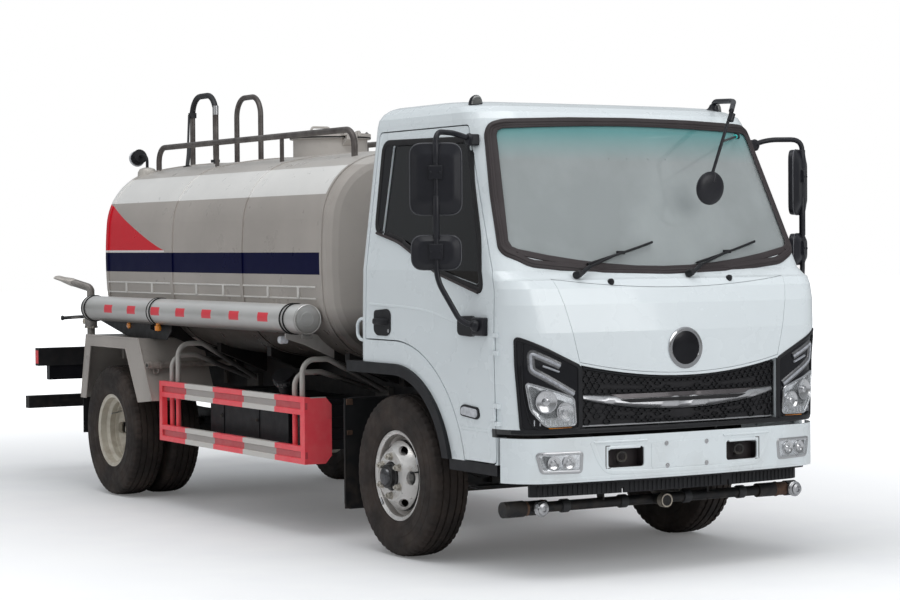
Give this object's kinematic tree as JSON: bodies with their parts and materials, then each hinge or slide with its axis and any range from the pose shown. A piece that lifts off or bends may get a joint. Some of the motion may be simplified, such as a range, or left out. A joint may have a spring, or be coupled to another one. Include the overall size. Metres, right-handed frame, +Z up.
{
  "type": "street sprinkler tanker truck",
  "caption": "Street sprinkling tanker truck with a tilting hollow cab, opening doors, steered front wheels, an oval water tank, side hose tubes, ladder and spray nozzles.",
  "frame": {"origin": "on the ground below the middle of the truck's length and width", "axes": "+X forward to the cab, +Y to the truck's left, +Z up"},
  "size_m": [5.995, 2.3178, 2.4418],
  "materials": {
    "cab_white": "gloss",
    "tank_grey": "satin",
    "chassis_black": "satin",
    "cast_metal": "rough",
    "exhaust_steel": "satin",
    "black_plastic": "matt",
    "rail_grey": "satin",
    "tube_silver": "satin",
    "guard_red": "gloss",
    "flap_rubber": "matt",
    "lamp_lens": "gloss",
    "clear_glass": "clear",
    "dark_glass": "tinted",
    "inside_grey": "matt",
    "seat_cloth": "woven",
    "wheel_grey": "satin",
    "wheel_cream": "satin",
    "tyre_rubber": "matt"
  },
  "bodies": {
    "chassis": {"frame": "chassis_black", "front_axle": "chassis_black", "rear_axle": "chassis_black", "leaf_springs": "chassis_black", "driveline": "cast_metal", "engine": "cast_metal", "muffler": "exhaust_steel", "fuel_tank": "black_plastic", "air_box": "black_plastic", "battery_box": "black_plastic", "tank": "tank_grey", "tank_cradle": "chassis_black", "top_rails": "rail_grey", "ladder": "rail_grey", "work_lamp": "black_plastic", "hose_tubes": "tube_silver", "side_guards": "guard_red", "rear_fenders": "tank_grey", "mudguards": "flap_rubber", "rear_bars": "chassis_black", "chassis_lamps": "lamp_lens", "spray_pipes": "rail_grey", "water_pump": "cast_metal", "front_bumper": "cab_white", "front_valance": "black_plastic", "front_spray_bar": "chassis_black"},
    "cab": {"cab_shell": "cab_white", "front_panel": "cab_white", "grille": "black_plastic", "headlamps": "lamp_lens", "cab_glass": "clear_glass", "dashboard": "inside_grey", "seats": "seat_cloth", "steering_wheel": "black_plastic", "arch_flares": "black_plastic", "roof_lamps": "black_plastic", "wipers": "black_plastic", "kerb_mirror": "black_plastic"},
    "door_right": {"door_right": "cab_white", "door_glass_right": "dark_glass", "mirror_right": "black_plastic"},
    "door_left": {"door_left": "cab_white", "door_glass_left": "dark_glass", "mirror_left": "black_plastic"},
    "knuckle_right": {"knuckle_right": "cast_metal"},
    "knuckle_left": {"knuckle_left": "cast_metal"},
    "tie_rod": {"tie_rod": "cast_metal"},
    "front_wheel_right": {"front_rim_right": "wheel_grey", "front_tyre_right": "tyre_rubber"},
    "front_wheel_left": {"front_rim_left": "wheel_grey", "front_tyre_left": "tyre_rubber"},
    "rear_wheel_right": {"rear_rims_right": "wheel_cream", "rear_tyres_right": "tyre_rubber"},
    "rear_wheel_left": {"rear_rims_left": "wheel_cream", "rear_tyres_left": "tyre_rubber"},
    "manhole_lid": {"manhole_lid": "tank_grey"},
    "tube_cap_right": {"tube_cap_right": "tube_silver"},
    "tube_cap_left": {"tube_cap_left": "tube_silver"}
  },
  "joints": [
    {"name": "cab_tilt", "type": "hinge", "parent": "chassis", "child": "cab", "pos_m": [2.8875, 0, 0.765], "axis": [0, 1, 0], "range_deg": [0, 45]},
    {"name": "door_right_swing", "type": "hinge", "parent": "cab", "child": "door_right", "pos_m": [2.7625, -0.876, 1.2], "axis": [0, 0, 1], "range_deg": [0, 70]},
    {"name": "door_left_swing", "type": "hinge", "parent": "cab", "child": "door_left", "pos_m": [2.7625, 0.876, 1.2], "axis": [0, 0, -1], "range_deg": [0, 70]},
    {"name": "steer_right", "type": "hinge", "parent": "chassis", "child": "knuckle_right", "pos_m": [1.8675, -0.656, 0.3875], "axis": [0, 0, 1], "range_deg": [-35, 35]},
    {"name": "steer_left", "type": "hinge", "parent": "chassis", "child": "knuckle_left", "pos_m": [1.8675, 0.656, 0.3875], "axis": [0, 0, 1], "range_deg": [-35, 35]},
    {"name": "tie_rod_swing", "type": "hinge", "parent": "knuckle_right", "child": "tie_rod", "pos_m": [1.7175, -0.656, 0.2835], "axis": [0, 0, 1], "range_deg": [-35, 35]},
    {"name": "front_wheel_right_spin", "type": "hinge", "parent": "knuckle_right", "child": "front_wheel_right", "pos_m": [1.8675, -0.78, 0.3875], "axis": [0, 1, 0], "continuous": true},
    {"name": "front_wheel_left_spin", "type": "hinge", "parent": "knuckle_left", "child": "front_wheel_left", "pos_m": [1.8675, 0.78, 0.3875], "axis": [0, 1, 0], "continuous": true},
    {"name": "rear_wheel_right_spin", "type": "hinge", "parent": "chassis", "child": "rear_wheel_right", "pos_m": [-1.4405, -0.744, 0.3875], "axis": [0, 1, 0], "continuous": true},
    {"name": "rear_wheel_left_spin", "type": "hinge", "parent": "chassis", "child": "rear_wheel_left", "pos_m": [-1.4405, 0.744, 0.3875], "axis": [0, 1, 0], "continuous": true},
    {"name": "manhole_lid_swing", "type": "hinge", "parent": "chassis", "child": "manhole_lid", "pos_m": [-0.1455, 0, 2.1213], "axis": [0, 1, 0], "range_deg": [0, 110]},
    {"name": "tube_cap_right_swing", "type": "hinge", "parent": "chassis", "child": "tube_cap_right", "pos_m": [1.0225, -0.9, 1.021], "axis": [0, 1, 0], "range_deg": [0, 110]},
    {"name": "tube_cap_left_swing", "type": "hinge", "parent": "chassis", "child": "tube_cap_left", "pos_m": [1.0225, 0.9, 1.021], "axis": [0, 1, 0], "range_deg": [0, 110]}
  ],
  "couplings": [
    {"joint": "steer_left", "follows": "steer_right", "ratio": 1},
    {"joint": "tie_rod_swing", "follows": "steer_right", "ratio": -1}
  ]
}
